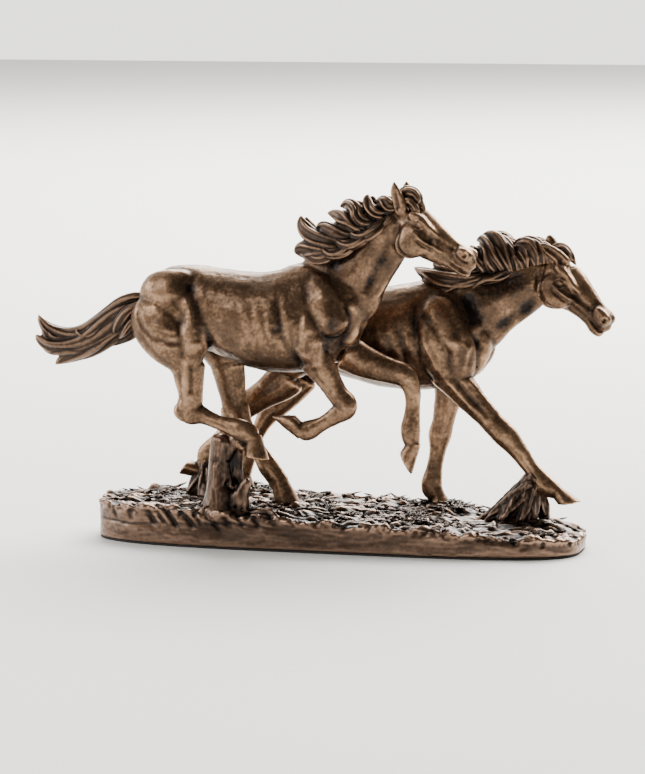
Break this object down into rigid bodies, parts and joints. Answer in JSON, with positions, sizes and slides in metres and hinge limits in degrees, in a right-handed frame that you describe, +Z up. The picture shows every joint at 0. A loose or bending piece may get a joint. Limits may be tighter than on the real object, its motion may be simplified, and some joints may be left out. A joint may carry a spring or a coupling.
{
  "type": "galloping horses statue",
  "caption": "Tabletop sculpture of galloping horses in bronze-finished cold-cast resin, leaping over a rough grassy ground base with a felt underside",
  "frame": {"origin": "centre of the base's underside, on the felt's lower face", "axes": "+X the way the horses run, +Y from the trailing horse towards the leading one, +Z up"},
  "size_m": [0.3911, 0.1059, 0.25],
  "materials": {
    "horse_bronze": "cold-cast bronze, brushed light brown on the high spots over a dark brown patina",
    "hair_bronze": "cold-cast bronze, dark brown patina in the grooves between strands",
    "ground_bronze": "cold-cast bronze, rough, dark brown patina",
    "zinc_steel": "zinc plated",
    "hardboard": "bare hardboard",
    "felt": "dark felt"
  },
  "bodies": {
    "root": {"base_felt": "felt", "base_cover": "hardboard", "base_casting": "ground_bronze", "cover_screw_1": "zinc_steel", "cover_screw_2": "zinc_steel", "cover_screw_3": "zinc_steel", "cover_screw_4": "zinc_steel", "trailing_left_hind_stud": "zinc_steel", "trailing_left_hind_washer": "zinc_steel", "trailing_left_hind_nut": "zinc_steel", "stump_stud": "zinc_steel", "stump_washer": "zinc_steel", "stump_nut": "zinc_steel", "rear_tuft_stud": "zinc_steel", "rear_tuft_washer": "zinc_steel", "rear_tuft_nut": "zinc_steel", "leading_left_fore_stud": "zinc_steel", "leading_left_fore_washer": "zinc_steel", "leading_left_fore_nut": "zinc_steel", "brush_stud": "zinc_steel", "brush_washer": "zinc_steel", "brush_nut": "zinc_steel", "leading_left_hind_stud": "zinc_steel", "leading_left_hind_washer": "zinc_steel", "leading_left_hind_nut": "zinc_steel", "stump_support": "ground_bronze", "brush_support": "ground_bronze", "rear_tuft": "ground_bronze", "trailing_torso": "horse_bronze", "trailing_head_and_neck": "horse_bronze", "trailing_mane": "hair_bronze", "trailing_forelock": "hair_bronze", "trailing_tail": "hair_bronze", "trailing_right_hind": "horse_bronze", "trailing_left_hind": "horse_bronze", "trailing_right_fore": "horse_bronze", "trailing_left_fore": "horse_bronze", "leading_torso": "horse_bronze", "leading_head_and_neck": "horse_bronze", "leading_mane": "hair_bronze", "leading_forelock": "hair_bronze", "leading_tail": "hair_bronze", "leading_right_hind": "horse_bronze", "leading_left_hind": "horse_bronze", "leading_right_fore": "horse_bronze", "leading_left_fore": "horse_bronze"}
  },
  "joints": []
}
